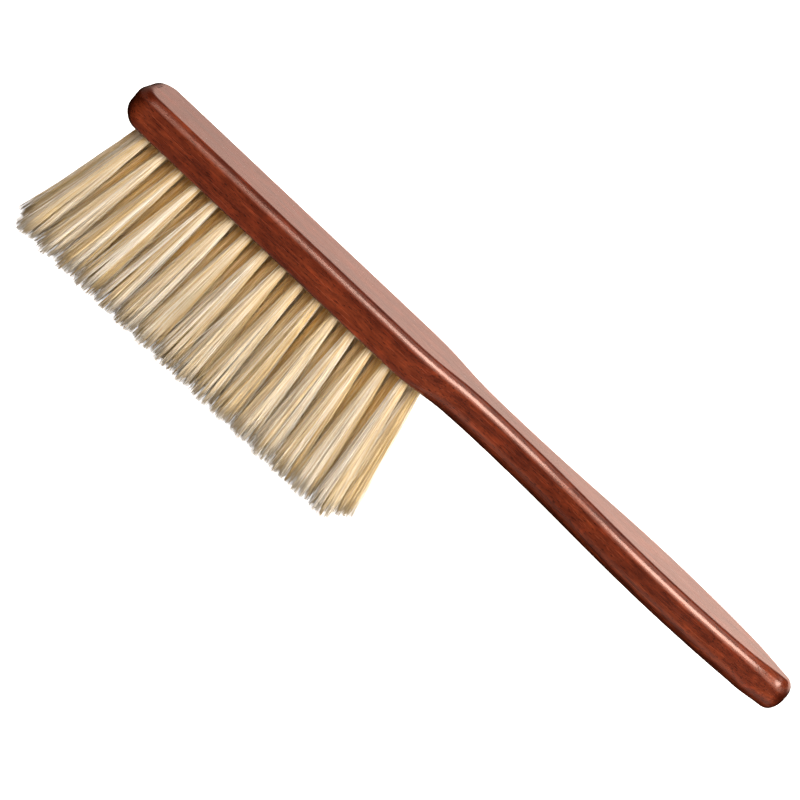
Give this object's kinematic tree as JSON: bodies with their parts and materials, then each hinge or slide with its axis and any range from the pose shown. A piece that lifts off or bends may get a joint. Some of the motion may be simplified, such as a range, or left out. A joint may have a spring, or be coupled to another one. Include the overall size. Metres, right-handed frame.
{
  "type": "neck duster brush",
  "caption": "Barber's neck duster: one-piece varnished wooden head and waisted handle with fanned rows of soft pale bristle tufts along its underside.",
  "frame": {"origin": "centre of the brush's own box at the level of the trimmed bristle tips, which it stands on", "axes": "+X along the handle from the head to the rounded handle end, +Z from the bristle tips to the flat wooden back, +Y across the head"},
  "size_m": [0.3072, 0.0344, 0.0681],
  "materials": {
    "varnished_wood": "gloss",
    "anchor_wire": "satin",
    "bristle": "satin"
  },
  "bodies": {
    "root": {"handle_block": "varnished_wood", "tuft_anchors": "anchor_wire", "tuft_front_01": "bristle", "tuft_front_02": "bristle", "tuft_front_03": "bristle", "tuft_front_04": "bristle", "tuft_front_05": "bristle", "tuft_front_06": "bristle", "tuft_front_07": "bristle", "tuft_front_08": "bristle", "tuft_front_09": "bristle", "tuft_front_10": "bristle", "tuft_front_11": "bristle", "tuft_front_12": "bristle", "tuft_front_13": "bristle", "tuft_front_14": "bristle", "tuft_front_15": "bristle", "tuft_front_16": "bristle", "tuft_middle_01": "bristle", "tuft_middle_02": "bristle", "tuft_middle_03": "bristle", "tuft_middle_04": "bristle", "tuft_middle_05": "bristle", "tuft_middle_06": "bristle", "tuft_middle_07": "bristle", "tuft_middle_08": "bristle", "tuft_middle_09": "bristle", "tuft_middle_10": "bristle", "tuft_middle_11": "bristle", "tuft_middle_12": "bristle", "tuft_middle_13": "bristle", "tuft_middle_14": "bristle", "tuft_middle_15": "bristle", "tuft_middle_16": "bristle", "tuft_middle_17": "bristle", "tuft_rear_01": "bristle", "tuft_rear_02": "bristle", "tuft_rear_03": "bristle", "tuft_rear_04": "bristle", "tuft_rear_05": "bristle", "tuft_rear_06": "bristle", "tuft_rear_07": "bristle", "tuft_rear_08": "bristle", "tuft_rear_09": "bristle", "tuft_rear_10": "bristle", "tuft_rear_11": "bristle", "tuft_rear_12": "bristle", "tuft_rear_13": "bristle", "tuft_rear_14": "bristle", "tuft_rear_15": "bristle", "tuft_rear_16": "bristle"}
  },
  "joints": []
}
